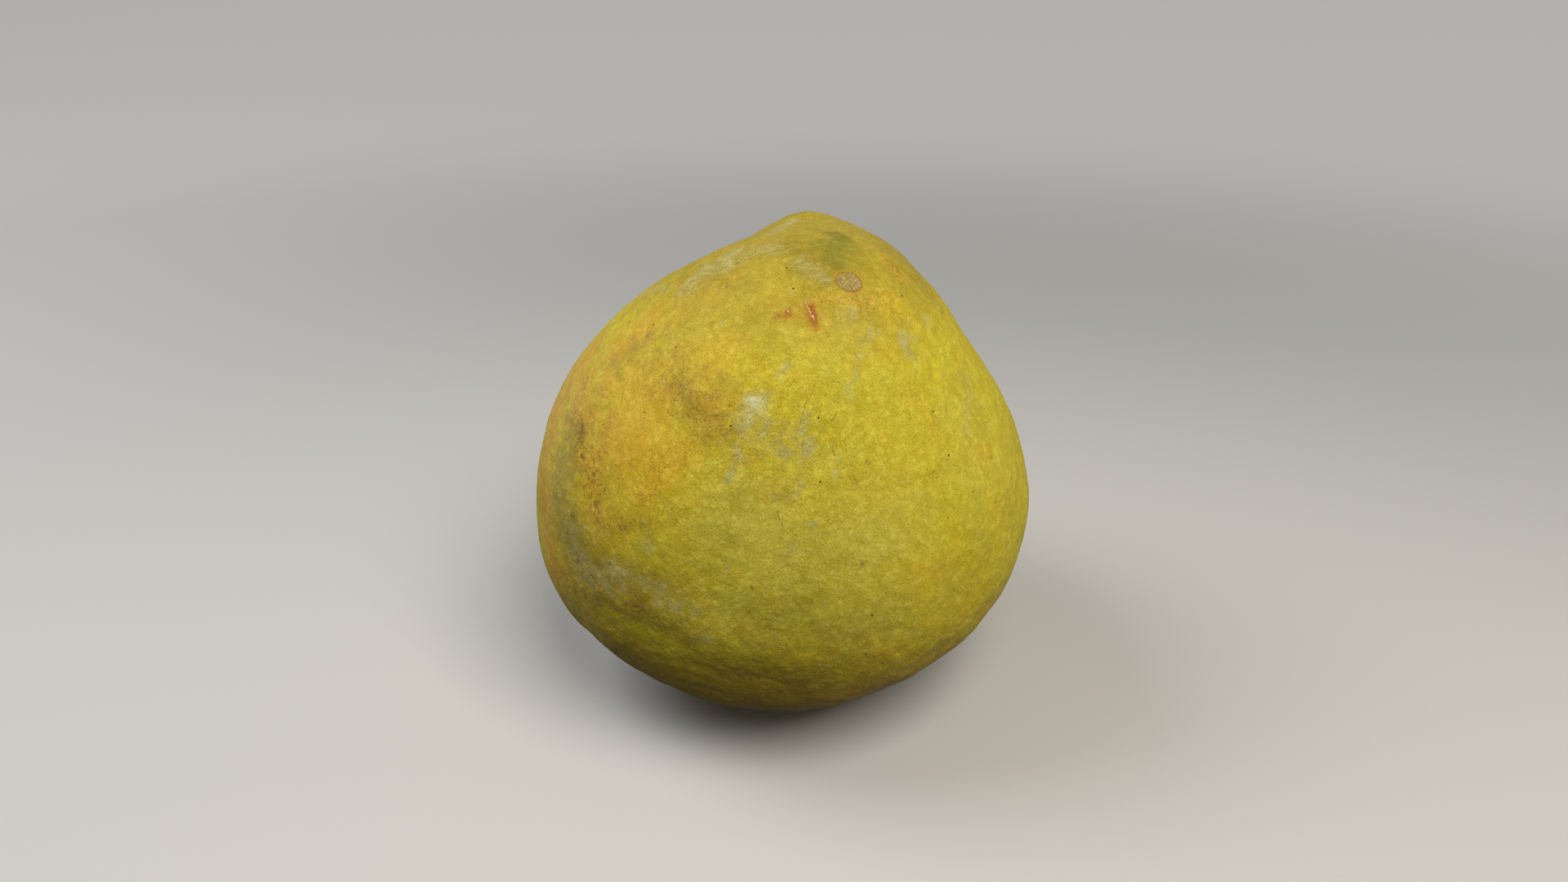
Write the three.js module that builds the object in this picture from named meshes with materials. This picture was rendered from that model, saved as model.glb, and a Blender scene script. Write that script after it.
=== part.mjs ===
// Pomelo: one whole fruit, a round body that rises into a short neck around the stem scar.
//
// Millimetres, +Z up. The origin is the middle of the small flat spot that the fruit rests on.
// The body's centre is straight above it, and the neck leans towards -Y, the front, and a little
// towards +X. Directions are given by azimuth (0 at the front, 90 at +X) and elevation, in degrees.

import * as THREE from 'three';
import { mergeVertices } from 'three/addons/utils/BufferGeometryUtils.js';

// Driving dimensions
const HALF_WIDTH = 74.1; // body centre to its side
const RISE = 83.3; // body centre to its top, were there no neck and no lumps
const DROP = 55.7; // body centre to its bottom, were there no flat spot
const FOOT_DEPTH = 54.7; // body centre to the flat spot
const FOOT_BLEND = 0.2; // how softly the flat spot rounds into the body

// The neck is a blunt mound: nearly flat inside its spread, then falling away.
const NECK = { azimuth: 24, elevation: 63, spread: 22, height: 10.8, bluntness: 2.6 };

// Soft lumps (positive height) and hollows (negative), each as wide as its spread in degrees.
const LUMPS = [
  { name: 'full right side', azimuth: 80, elevation: 7, spread: 15, height: 1.0 },
  { name: 'hollow under the neck, right', azimuth: 100, elevation: 50, spread: 20, height: -4.6 },
  { name: 'crease in that hollow', azimuth: 100, elevation: 49, spread: 8, height: -1.8 },
  { name: 'right flank of the neck', azimuth: 114, elevation: 64, spread: 19, height: 3.7 },
  { name: 'crest behind the neck', azimuth: 162, elevation: 77, spread: 9.5, height: 4.8 },
  { name: 'notch behind the neck, left', azimuth: -132, elevation: 73, spread: 17, height: -4.8 },
  { name: 'flattened left shoulder', azimuth: -102, elevation: 52, spread: 21, height: -3.0 },
  { name: 'flattened lower left', azimuth: -50, elevation: -38, spread: 22, height: -1.7 },
  { name: 'flattened lower right', azimuth: 50, elevation: -38, spread: 22, height: -1.5 },
  { name: 'hollow high on the back', azimuth: 170, elevation: 18, spread: 24, height: -1.5 },
  { name: 'swelling on the back, left', azimuth: -150, elevation: -12, spread: 26, height: 1.3 },
  { name: 'swelling on the back, right', azimuth: 130, elevation: -28, spread: 22, height: 1.1 },
];

// Facets along one edge of the cube that the surface is spread from
const FACETS_PER_EDGE = 21;

function direction({ azimuth, elevation }) {
  const turn = THREE.MathUtils.degToRad(azimuth);
  const lift = THREE.MathUtils.degToRad(elevation);
  const reach = Math.cos(lift);
  return new THREE.Vector3(reach * Math.sin(turn), -reach * Math.cos(turn), Math.sin(lift));
}

// Angle between a direction and a feature's own, as a share of the feature's spread
function nearness(toward, feature) {
  const angle = THREE.MathUtils.radToDeg(toward.angleTo(direction(feature)));
  return angle / feature.spread;
}

// Half an ellipsoid above the centre and a flatter half below it
function bodyRadius(toward) {
  const halfHeight = toward.z > 0 ? RISE : DROP;
  const across = Math.hypot(toward.x, toward.y) / HALF_WIDTH;
  return 1 / Math.hypot(across, toward.z / halfHeight);
}

function neckHeight(toward) {
  return NECK.height / (1 + nearness(toward, NECK) ** NECK.bluntness);
}

function lumpHeight(toward) {
  return LUMPS.reduce((sum, lump) => sum + lump.height * Math.exp(-(nearness(toward, lump) ** 2)), 0);
}

// The smaller of two radii, with the corner between them rounded over a given depth
function softMinimum(a, b, depth) {
  const overlap = Math.max(depth - Math.abs(a - b), 0) / depth;
  return Math.min(a, b) - overlap * overlap * depth / 4;
}

// Distance from the body's centre to the skin
function skinRadius(toward) {
  const round = bodyRadius(toward) + neckHeight(toward) + lumpHeight(toward);
  if (toward.z >= 0) {
    return round;
  }
  return softMinimum(round, FOOT_DEPTH / -toward.z, FOOT_BLEND);
}

// A cube's grid is blown up to a sphere, with its lines at even angles, and then to the skin.
function fruitGeometry() {
  const n = FACETS_PER_EDGE;
  const cube = new THREE.BoxGeometry(2, 2, 2, n, n, n);
  cube.deleteAttribute('normal');
  cube.deleteAttribute('uv');
  const skin = mergeVertices(cube, 1e-4);
  const points = skin.attributes.position;
  const evenAngle = (coordinate) => Math.tan(coordinate * Math.PI / 4);
  for (let i = 0; i < points.count; i += 1) {
    const toward = new THREE.Vector3(
      evenAngle(points.getX(i)),
      evenAngle(points.getY(i)),
      evenAngle(points.getZ(i)),
    ).normalize();
    const point = toward.clone().multiplyScalar(skinRadius(toward));
    points.setXYZ(i, point.x, point.y, point.z + FOOT_DEPTH);
  }
  skin.computeVertexNormals();
  return skin;
}

function fruit() {
  const rind = new THREE.MeshStandardMaterial({ color: 0xd8c045, roughness: 0.5, metalness: 0 });
  const mesh = new THREE.Mesh(fruitGeometry(), rind);
  mesh.name = 'pomelo_fruit';
  return mesh;
}

const pomelo = new THREE.Group();
pomelo.add(fruit());

export default pomelo;
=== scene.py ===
# %% [markdown]
# # A whole pomelo
#
# A pomelo is the largest citrus fruit: a round, slightly pear-shaped body under a thick rind
# that is pitted with oil glands, waxy, and seldom one even yellow. The measured model gives
# the body, its short leaning neck and the flat spot that it rests on. This script grows the
# same skin again from the same formula, with a much finer grid, adds what is too small for
# the measured model, and gives it a rind.
#
# Lengths in the formulas are millimetres from the body's centre, because a rind is easiest
# to think of in millimetres. They become metres only when a mesh is made.

# %% Load the measured model
import math

import bpy
import numpy as np
from mathutils import Matrix


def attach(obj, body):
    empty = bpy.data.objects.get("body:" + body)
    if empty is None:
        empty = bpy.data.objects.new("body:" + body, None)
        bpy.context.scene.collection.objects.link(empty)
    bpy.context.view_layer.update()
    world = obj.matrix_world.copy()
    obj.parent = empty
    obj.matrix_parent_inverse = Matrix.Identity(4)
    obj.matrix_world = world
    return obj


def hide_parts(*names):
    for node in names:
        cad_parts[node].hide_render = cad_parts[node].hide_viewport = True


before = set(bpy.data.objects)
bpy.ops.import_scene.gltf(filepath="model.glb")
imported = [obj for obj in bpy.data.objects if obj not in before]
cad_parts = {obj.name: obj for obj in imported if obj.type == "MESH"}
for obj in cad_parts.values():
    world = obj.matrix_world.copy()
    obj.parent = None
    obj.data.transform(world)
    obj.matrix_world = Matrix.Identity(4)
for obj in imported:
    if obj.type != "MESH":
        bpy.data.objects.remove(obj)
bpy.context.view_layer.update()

# %% [markdown]
# ## The camera
#
# A camera can be placed by eye, or worked out. Here it is worked out, because the marks on
# the rind are placed further down by where this camera sees them: each mark is a pixel of
# its 1920 x 1080 frame, and a ray through that pixel finds the skin. It stands in front of
# the fruit (-Y), a little above it, and close, as if held in the other hand.

# %% Place the camera
MM = 0.001
FRAME_WIDTH = 1920
FRAME_HEIGHT = 1080
VIEW_ANGLE = math.radians(45)
CAMERA_LIFT = math.radians(24)
CAMERA_REACH = 325.4
SENSOR_WIDTH = 36.0

FOOT_DEPTH = 54.7
BODY_CENTRE = np.array([0.0, 0.0, FOOT_DEPTH])
AIM = np.array([1.3, 0.0, 20.9])

focal_pixels = FRAME_HEIGHT / 2 / math.tan(VIEW_ANGLE / 2)
sight = np.array([0.0, math.cos(CAMERA_LIFT), -math.sin(CAMERA_LIFT)])
frame_right = np.array([1.0, 0.0, 0.0])
frame_up = np.cross(frame_right, sight)
eye = AIM - CAMERA_REACH * sight

camera = bpy.data.objects.new("camera", bpy.data.cameras.new("camera"))
camera.data.sensor_width = SENSOR_WIDTH
camera.data.lens = focal_pixels * SENSOR_WIDTH / FRAME_WIDTH
camera.data.clip_start = 0.01
camera.location = (eye + BODY_CENTRE) * MM
camera.rotation_euler = (math.pi / 2 - CAMERA_LIFT, 0.0, 0.0)
bpy.context.collection.objects.link(camera)
bpy.context.scene.camera = camera
print(f"camera: {camera.data.lens:.2f} mm lens at {camera.location[:]}")

# %% [markdown]
# ## The shape of the skin
#
# A fruit could be sculpted by hand, or a sphere could be pulled about with a lattice. A
# formula is chosen, because the measured model is made by the same one, so the two agree
# everywhere. It says how far the skin is from the body's centre in any direction: half an
# ellipsoid above, a flatter half below, a blunt mound for the neck, and a few soft lumps
# and hollows that make this fruit itself and no other. The flat spot trims the bottom.

# %% Skin formula
HALF_WIDTH = 74.1
RISE = 83.3
DROP = 55.7
FOOT_BLEND = 0.2

# azimuth, elevation and spread in degrees (0, 0 faces the front; 90, 0 faces +X), and for the
# lumps their height
NECK = (24, 63, 22)
NECK_HEIGHT = 10.8
NECK_BLUNTNESS = 2.6
LUMPS = {
    "full right side": (80, 7, 15, 1.0),
    "hollow under the neck, right": (100, 50, 20, -4.6),
    "crease in that hollow": (100, 49, 8, -1.8),
    "right flank of the neck": (114, 64, 19, 3.7),
    "crest behind the neck": (162, 77, 9.5, 4.8),
    "notch behind the neck, left": (-132, 73, 17, -4.8),
    "flattened left shoulder": (-102, 52, 21, -3.0),
    "flattened lower left": (-50, -38, 22, -1.7),
    "flattened lower right": (50, -38, 22, -1.5),
    "hollow high on the back": (170, 18, 24, -1.5),
    "swelling on the back, left": (-150, -12, 26, 1.3),
    "swelling on the back, right": (130, -28, 22, 1.1),
}


def toward(azimuth, elevation):
    """Unit vector for an azimuth (0 at the front, 90 at +X) and an elevation, in degrees."""
    turn, lift = np.radians(azimuth), np.radians(elevation)
    reach = np.cos(lift)
    return np.stack([reach * np.sin(turn), -reach * np.cos(turn), np.sin(lift)], axis=-1)


def nearness(way, azimuth, elevation, spread):
    """Angle between directions and a feature's own, as a share of the feature's spread."""
    cosine = np.clip(way @ toward(azimuth, elevation), -1.0, 1.0)
    return np.degrees(np.arccos(cosine)) / spread


def soft_minimum(a, b, depth):
    """The smaller of two lengths, with the corner between them rounded over a depth."""
    overlap = np.maximum(depth - np.abs(a - b), 0.0) / depth
    return np.minimum(a, b) - overlap**2 * depth / 4


def skin_radius(way):
    """Body centre to skin: one over the length of the direction measured in semi-axes, plus
    the neck, height / (1 + nearness ** bluntness), plus each lump, height * e ** -nearness ** 2,
    cut softly at the height of the flat spot."""
    half_height = np.where(way[..., 2] > 0, RISE, DROP)
    across = np.hypot(way[..., 0], way[..., 1]) / HALF_WIDTH
    radius = 1 / np.hypot(across, way[..., 2] / half_height)
    radius += NECK_HEIGHT / (1 + nearness(way, *NECK) ** NECK_BLUNTNESS)
    for azimuth, elevation, spread, height in LUMPS.values():
        radius += height * np.exp(-nearness(way, azimuth, elevation, spread) ** 2)
    downward = np.maximum(-way[..., 2], 1e-3)
    return soft_minimum(radius, FOOT_DEPTH / downward, FOOT_BLEND)


print("skin above the foot, mm:", round(float(skin_radius(toward(0, 90)) + FOOT_DEPTH), 1))

# %% [markdown]
# ## Finding places on the skin
#
# A mark could be placed by its angles, but nobody sees angles on a fruit. What the eye knows
# is where the mark is in the frame, so each ray from the camera is walked in small steps
# until it passes under the skin, and the last step is then halved until the place is exact.

# %% Rays from the camera to the skin
FIRST_STEP = 180.0
LAST_STEP = 400.0
STEPS = 441
HALVINGS = 14


def height_over_skin(points):
    """Distance from the body's centre, less the skin's own radius in that direction."""
    reach = np.linalg.norm(points, axis=-1)
    return reach - skin_radius(points / reach[..., None])


def on_skin(pixels):
    """Places, in mm from the body's centre, where the rays through some pixels meet the skin."""
    column, row = np.atleast_2d(np.asarray(pixels, float)).T
    rays = (
        focal_pixels * sight
        + (column - FRAME_WIDTH / 2)[:, None] * frame_right
        + (FRAME_HEIGHT / 2 - row)[:, None] * frame_up
    )
    rays /= np.linalg.norm(rays, axis=1, keepdims=True)
    steps = np.linspace(FIRST_STEP, LAST_STEP, STEPS)
    under = height_over_skin(eye + rays[:, None, :] * steps[None, :, None]) < 0
    if not under.any(axis=1).all():
        raise ValueError(f"a ray misses the fruit: {np.atleast_2d(pixels)[~under.any(axis=1)]}")
    far = steps[under.argmax(axis=1)]
    near = far - (steps[1] - steps[0])
    for _ in range(HALVINGS):
        middle = (near + far) / 2
        inside = height_over_skin(eye + rays * middle[:, None]) < 0
        far = np.where(inside, middle, far)
        near = np.where(inside, near, middle)
    return eye + rays * far[:, None]


STEM_PIXEL = (1040, 345)
stem = on_skin(STEM_PIXEL)[0]
print("stem scar, mm from the body's centre:", stem.round(1))

# %% [markdown]
# ## The stem scar's own axes
#
# Everything near the stem is round about it, so it gets axes of its own: one along the
# skin's normal there, found from how fast the height over the skin changes, and two flat
# on the skin.

# %% Axes at the stem scar
SLOPE_STEP = 0.5


def skin_normal(point):
    """Direction in which the height over the skin grows fastest, from small steps each way."""
    steps = SLOPE_STEP * np.eye(3)
    slope = height_over_skin(point + steps) - height_over_skin(point - steps)
    return slope / np.linalg.norm(slope)


stem_up = skin_normal(stem)
stem_across = np.cross(stem_up, -sight)
stem_across /= np.linalg.norm(stem_across)
stem_along = np.cross(stem_up, stem_across)
print("stem scar faces", stem_up.round(2))

# %% [markdown]
# ## A grid over the whole fruit
#
# A UV sphere has poles where its faces shrink to slivers. A cube blown up to a sphere has
# none: its six square faces carry even grids, and where they meet the points are merged.
# The cube is turned so that one face lies under the stem, and the grid is drawn together
# there, because the scar is small and needs the finest faces.

# %% Cube grid
CELLS = 128
STEM_GATHER = 0.62
STEM_GATHER_SPREAD = math.radians(22)


def cube_grid(cells):
    """Directions on a cube's faces, with lines at even angles, and quads that face outwards."""
    even_angles = np.tan(np.linspace(-math.pi / 4, math.pi / 4, cells + 1))
    a, b = np.meshgrid(even_angles, even_angles, indexing="ij")
    one = np.ones_like(a)
    sides = [(one, a, b), (-one, b, a), (b, one, a), (a, -one, b), (a, b, one), (b, a, -one)]
    points = np.concatenate([np.stack(side, axis=-1).reshape(-1, 3) for side in sides])
    points, merged = np.unique(points.round(9), axis=0, return_inverse=True)
    number = merged.reshape(len(sides), cells + 1, cells + 1)
    corners = [number[:, :-1, :-1], number[:, 1:, :-1], number[:, 1:, 1:], number[:, :-1, 1:]]
    quads = np.stack(corners, axis=-1).reshape(-1, 4)
    return points / np.linalg.norm(points, axis=1, keepdims=True), quads


def gather_to_pole(way, pull, spread):
    """Draw directions towards +Z: an angle t from it becomes
    t * (1 - pull * e ** -(t / spread) ** 2)."""
    angle = np.arccos(np.clip(way[:, 2], -1, 1))
    drawn = angle * (1 - pull * np.exp(-((angle / spread) ** 2)))
    flat = way[:, :2] / np.maximum(np.hypot(way[:, 0], way[:, 1]), 1e-12)[:, None]
    return np.column_stack([flat * np.sin(drawn)[:, None], np.cos(drawn)])


cube_ways, quads = cube_grid(CELLS)
pole = stem / np.linalg.norm(stem)
pole_side = np.cross(pole, (0, 0, 1))
pole_side /= np.linalg.norm(pole_side)
turn = np.stack([pole_side, np.cross(pole, pole_side), pole])
ways = gather_to_pole(cube_ways, STEM_GATHER, STEM_GATHER_SPREAD) @ turn
print(f"{len(ways)} points, {2 * len(quads)} triangles")

# %% [markdown]
# ## Relief too small for the measured model
#
# A rind is never smooth: it swells over the segments below it and dimples between them.
# Random points could be pushed about and blurred, but adding up gentle waves that run in
# random directions gives the same soft unevenness with no blurring and no seams. Long waves
# make the swellings and short ones the orange-peel bumps. All fade out at the flat spot,
# which stays flat, and mostly at the stem scar, which has relief of its own.

# %% Rind waves
# how many waves, and their shortest and longest length
SWELLS = (90, 8.0, 28.0)
SWELL_HEIGHT = 0.17
BUMPS = (160, 2.8, 6.5)
BUMP_HEIGHT = 0.045
FLAT_SPOT_CLEAR = (0.5, 9.0)
STEM_CLEAR = (3.0, 9.0)
LEFT_AT_STEM = 0.25
SEED = 7

draw = np.random.default_rng(SEED)


def ease(values, low, high):
    """0 below low, 1 above high, and the smooth step 3 t^2 - 2 t^3 between them."""
    share = np.clip((values - low) / (high - low), 0.0, 1.0)
    return share**2 * (3 - 2 * share)


def random_waves(places, count, shortest, longest):
    """Sum of plane waves of random direction, length and phase, the long ones stronger, scaled
    so that the sum's own spread is about 1."""
    heading = draw.normal(size=(count, 3))
    heading /= np.linalg.norm(heading, axis=1, keepdims=True)
    length = draw.uniform(shortest, longest, count)
    phase = draw.uniform(0, 2 * math.pi, count)
    weight = math.sqrt(2) * length / np.linalg.norm(length)
    return np.sin(places @ (heading * 2 * math.pi / length[:, None]).T + phase) @ weight


skin = ways * skin_radius(ways)[:, None]
stem_reach = np.linalg.norm(skin - stem, axis=1)
height_over_foot = skin[:, 2] + FOOT_DEPTH
away_from_stem = LEFT_AT_STEM + (1 - LEFT_AT_STEM) * ease(stem_reach, *STEM_CLEAR)
quiet = ease(height_over_foot, *FLAT_SPOT_CLEAR) * away_from_stem
swells = SWELL_HEIGHT * random_waves(skin, *SWELLS)
bumps = BUMP_HEIGHT * random_waves(skin, *BUMPS)
relief = quiet * (swells + bumps)
print(f"relief from {relief.min():.2f} to {relief.max():.2f} mm")

# %% [markdown]
# ## The stem scar's relief
#
# The stem broke off and left a low collar, a thin sunken ring, and a face with ribs that run
# out from its middle, one for each bundle of vessels. The ribs could be bump in the
# material, but the grid is fine enough here for them to be real.

# %% Stem scar
SCAR_RADIUS = 3.3
RING_WIDTH = 0.38
RING_DEPTH = 0.22
COLLAR_RADIUS = 4.9
COLLAR_WIDTH = 1.6
COLLAR_HEIGHT = 0.20
RIBS = 17
RIB_HEIGHT = 0.045
RIB_TWIST = 3


def stem_relief(reach, turn_angle):
    """A collar's bell, less the ring's narrower bell, plus ribs: a cosine of the angle, turned a
    little on the way out, that is strongest half way and gone at the middle and the ring."""
    collar = COLLAR_HEIGHT * np.exp(-(((reach - COLLAR_RADIUS) / COLLAR_WIDTH) ** 2))
    ring = RING_DEPTH * np.exp(-(((reach - SCAR_RADIUS) / RING_WIDTH) ** 2))
    share = np.clip(reach / SCAR_RADIUS, 0, 1)
    ribs = RIB_HEIGHT * np.cos(RIBS * turn_angle + RIB_TWIST * share) * 4 * share * (1 - share)
    return collar - ring + ribs


stem_place = (skin - stem) @ np.stack([stem_across, stem_along, stem_up], axis=1)
relief += stem_relief(stem_reach, np.arctan2(stem_place[:, 1], stem_place[:, 0]))
print("points on the scar:", int((stem_reach < SCAR_RADIUS).sum()))

# %% [markdown]
# ## Painting marks onto the points
#
# Image textures would need an unwrapped skin and a picture. Instead each kind of mark is a
# number kept at every point of the mesh, which the rind's material reads back. Wide, soft
# marks are strokes: a line on the skin with a bell-shaped width. Nothing on a fruit has a
# ruled edge, so the points are nudged at random before their distance to a stroke is
# measured, and the material tears the edges further with fine noise.

# %% Strokes
NUDGE = 0.55
NUDGE_WAVES = (40, 3.0, 12.0)

nudged = skin + NUDGE * np.stack([random_waves(skin, *NUDGE_WAVES) for _ in range(3)], axis=1)
nudges = np.linalg.norm(nudged - skin, axis=1)
print(f"points nudged by {nudges.mean():.2f} mm on average")


def line_distance(places, line):
    """Distance from every place to the nearest piece of a line given by its corners."""
    nearest = np.full(len(places), np.inf)
    ends = zip(line[:-1], line[1:]) if len(line) > 1 else [(line[0], line[0])]
    for start, end in ends:
        along = end - start
        share = (places - start) @ along / max(along @ along, 1e-9)
        foot = start + np.clip(share, 0, 1)[:, None] * along
        nearest = np.minimum(nearest, np.linalg.norm(places - foot, axis=1))
    return nearest


def lay(layer, width, strength, line, places=nudged):
    """The stronger, at every point, of a layer and a stroke, which is
    strength * e ** -(distance / width) ** 2."""
    bell = np.exp(-((line_distance(places, line) / width) ** 2))
    return np.maximum(layer, strength * bell)


def paint(strokes, places=nudged):
    """A layer of strokes whose lines are given in pixels."""
    layer = np.zeros(len(skin))
    for width, strength, *line in strokes:
        layer = lay(layer, width, strength, on_skin(line), places)
    return layer


# %% [markdown]
# ## Where the fruit is pale, warm and green
#
# The front, which leaves shaded, stayed a paler straw, and low on it a dull tint is partly
# dust and partly painted shade. The side that faced the sun is warmer, a few spots are a
# clearer yellow, and green lingers by the stem. Each stroke is its width in mm, its strength,
# and the pixels it runs by.

# %% Straw, dust and shade, warm, bright and green
STRAW = [
    (18, 0.9, (900, 640), (1000, 700), (1080, 640)),
    (14, 0.7, (900, 750), (1000, 770), (1090, 750)),
]
# partly dust, partly painted shade: darker at the lower left, low on the right and along the bottom
DUST_AND_SHADE = [
    (13, 0.35, (1190, 700), (1140, 755)),
    (14, 0.45, (1060, 800), (940, 808)),
    (11, 0.6, (712, 645), (745, 700), (830, 730)),
]
WARM = [
    (13, 0.9, (735, 570), (765, 535)),
    (11, 0.7, (765, 520), (800, 484)),
    (8, 0.6, (745, 470), (800, 462)),
    (8, 0.5, (835, 452), (880, 442)),
    (9, 0.7, (735, 625), (785, 600), (825, 560)),
    (8, 0.45, (850, 540), (870, 500), (905, 480)),
    (8, 0.8, (712, 470), (716, 520)),
    (9, 1, (680, 700), (668, 640), (670, 540), (690, 480), (716, 440)),
    (9, 0.7, (750, 435), (785, 404)),
    (9, 0.4, (800, 395), (860, 362)),
    (3.5, 0.4, (900, 340), (935, 318), (968, 314)),
    (4, 0.4, (945, 372), (975, 385), (1000, 392)),
    (9, 0.5, (716, 740), (768, 790), (800, 808)),
    (6, 0.6, (845, 478), (870, 488)),
    (4, 0.35, (1010, 366), (1050, 374), (1095, 366)),
    (5, 0.5, (1088, 318), (1098, 336)),
    (4.5, 0.3, (1075, 310), (1105, 345)),
    (6, 0.4, (1120, 700), (1160, 700)),
]
BRIGHT = [
    (7, 0.8, (748, 585), (762, 622)),
    (9, 0.35, (905, 372), (950, 350)),
    (8, 0.6, (1050, 610), (1105, 580)),
    (6, 0.5, (1090, 372), (1118, 388)),
    (6, 0.5, (960, 430), (1000, 405)),
]
GREEN = [
    (3.8, 1.3, (1027, 290), (1025, 304), (1020, 320)),
    (4, 0.7, (1012, 326), (1022, 340)),
    (5.5, 0.9, (1040, 300), (1018, 308), (1002, 300)),
    (4.5, 0.7, (1030, 322), (1048, 320)),
    (6.5, 0.7, (975, 305), (1020, 318)),
    (4.5, 0.8, (980, 325), (1010, 340)),
    (7.5, 0.3, (860, 650), (905, 625), (880, 690)),
    (8, 0.2, (790, 700), (840, 720), (900, 745)),
    (8, 0.4, (930, 745), (1000, 745), (1100, 760)),
    (6, 0.2, (1060, 600), (1040, 640)),
    (5, 0.35, (1180, 470), (1200, 510)),
]
print("wide strokes:", sum(map(len, [STRAW, DUST_AND_SHADE, WARM, BRIGHT, GREEN])))

# %% [markdown]
# ## Where it is smudged and scuffed
#
# Dull olive smudges and grey scuffs come from leaves and twigs that rubbed the young fruit.
# Some smudge strokes, along the bottom and below the big scuff at the lower left where the
# side turns under, are painted shade.
# A scuff is a thin corky skin that the yellow shows through, and the deepest ones have
# healed almost white.

# %% Smudged and scuffed
# olive smudges, and painted shade along the bottom and under the big scuff at the lower left
SMUDGE_AND_SHADE = [
    (6.5, 0.7, (830, 470), (850, 495), (880, 520)),
    (3.5, 0.6, (862, 462), (902, 472)),
    (4, 0.55, (835, 478), (848, 492)),
    (4, 0.65, (872, 528), (898, 528)),
    (6, 0.25, (925, 530), (965, 545)),
    (6.5, 0.3, (905, 600), (960, 580)),
    (3, 0.5, (770, 645), (788, 640)),
    (3.4, 0.5, (734, 642), (758, 658)),
    (4, 0.4, (736, 668), (752, 676)),
    (6, 0.55, (700, 515), (694, 545)),
    (9, 0.75, (690, 570), (686, 610), (690, 645)),
    (8, 0.85, (698, 655), (704, 685), (722, 706)),
    # painted shade along the crease under the big scuff
    (4, 0.85, (712, 722), (746, 738), (790, 748)),
    (4, 0.65, (800, 758), (838, 776)),
    (4, 0.5, (1000, 770), (1080, 775)),
    # painted shade along the bottom edge
    (6, 0.65, (890, 826), (1000, 832)),
    (5, 0.6, (704, 716), (728, 734)),
    (4, 0.5, (800, 738), (822, 748)),
    (4, 0.4, (958, 684), (965, 694)),
    (6.5, 0.5, (748, 452), (775, 428), (815, 408)),
    (6, 0.8, (735, 698), (770, 712), (792, 722)),
    (4.5, 0.8, (694, 702), (716, 722), (752, 732)),
    (6, 0.5, (790, 440), (835, 432)),
    (3, 0.5, (855, 470), (866, 477)),
    (4, 0.5, (908, 540), (930, 546)),
    (2.2, 1.3, (709, 521), (714, 533)),
    (7, 0.4, (870, 755), (930, 775)),
    (5.5, 0.4, (850, 335), (895, 318), (945, 300)),
    (5, 0.2, (1020, 366), (1080, 374)),
    (6, 0.35, (736, 480), (744, 520)),
    (5, 0.5, (985, 312), (1000, 330)),
]
SCUFF = [
    (2, 0.75, (941, 519), (937, 533)),
    (5.5, 0.4, (925, 515), (960, 535), (985, 545)),
    (1.4, 0.5, (939, 500), (946, 512)),
    (1.5, 0.75, (984, 510), (977, 527)),
    (1.9, 0.85, (956, 548), (967, 555)),
    (2.4, 0.95, (988, 541), (987, 556)),
    (3.6, 0.7, (932, 486), (920, 500), (914, 520)),
    (1.7, 0.75, (900, 552), (906, 561)),
    (1.2, 0.75, (900, 566), (895, 578), (889, 589)),
    (1, 0.5, (1017, 548), (1023, 562), (1023, 572)),
    (1.1, 0.6, (983, 580), (982, 594), (977, 604), (966, 611), (950, 611)),
    (1.8, 0.55, (967, 446), (958, 456)),
    (1.6, 0.62, (1070, 405), (1052, 428)),
    (1.5, 0.55, (1052, 428), (1046, 455), (1038, 483)),
    (2, 0.9, (1106, 410), (1108, 420), (1114, 434)),
    (1.5, 0.65, (1112, 418), (1121, 412)),
    (1.4, 0.5, (1134, 386), (1134, 398)),
    (2.5, 0.35, (1170, 460), (1188, 466), (1182, 526)),
    (5, 0.9, (880, 326), (897, 310)),
    (4.6, 0.7, (846, 346), (864, 328)),
    (3.8, 0.65, (916, 312), (934, 303), (948, 308)),
    (3.2, 0.6, (944, 288), (960, 280)),
    (2.8, 0.8, (962, 276), (974, 270)),
    (2.6, 0.55, (792, 358), (814, 354)),
    (1.8, 0.6, (890, 390), (893, 388)),
    (0.9, 0.6, (792, 409)),
    (3.4, 0.52, (982, 322), (994, 334)),
    (3, 0.42, (1000, 336), (1014, 344)),
    (2, 0.5, (1046, 382), (1040, 390)),
    (4.5, 0.3, (700, 512), (692, 548)),
    (8, 0.35, (688, 570), (690, 640)),
    (6.5, 0.6, (700, 655), (706, 685), (724, 704)),
    (3.6, 0.7, (728, 702), (744, 718)),
    (3.8, 0.6, (748, 698), (766, 707)),
    (2.8, 0.65, (788, 713), (806, 722)),
    (2.6, 0.65, (808, 735), (826, 744)),
    (3.4, 0.5, (834, 740), (848, 752)),
    (2.4, 0.5, (857, 780), (866, 786)),
    (1.5, 0.75, (1000, 646), (1001, 656)),
    (1.8, 0.55, (884, 696), (885, 702)),
    (2.6, 0.5, (788, 666), (794, 662)),
    (1.6, 0.5, (968, 664), (970, 670)),
    (3, 0.5, (850, 838), (880, 848)),
]
HEALED = [
    (1.9, 0.95, (925, 486), (933, 495)),
    (1.3, 0.8, (921, 500), (916, 516)),
    (1.1, 0.7, (912, 518), (910, 528)),
    (1, 0.6, (941, 517), (939, 526)),
    (0.8, 0.5, (939, 500), (945, 508)),
    (1.2, 0.7, (1020, 575), (1021, 581)),
    (1.3, 0.6, (988, 541), (986, 551)),
    (0.9, 0.5, (902, 552), (906, 560)),
    (3, 0.3, (884, 323), (897, 309)),
    (1.8, 0.3, (964, 275), (972, 271)),
    (1, 0.5, (1107, 412), (1111, 428)),
    (1.6, 0.4, (730, 704), (742, 714)),
    (1.6, 0.4, (752, 700), (762, 706)),
]
print(len(SMUDGE_AND_SHADE), "smudges,", len(SCUFF), "scuffs and", len(HEALED), "healed places")
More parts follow.
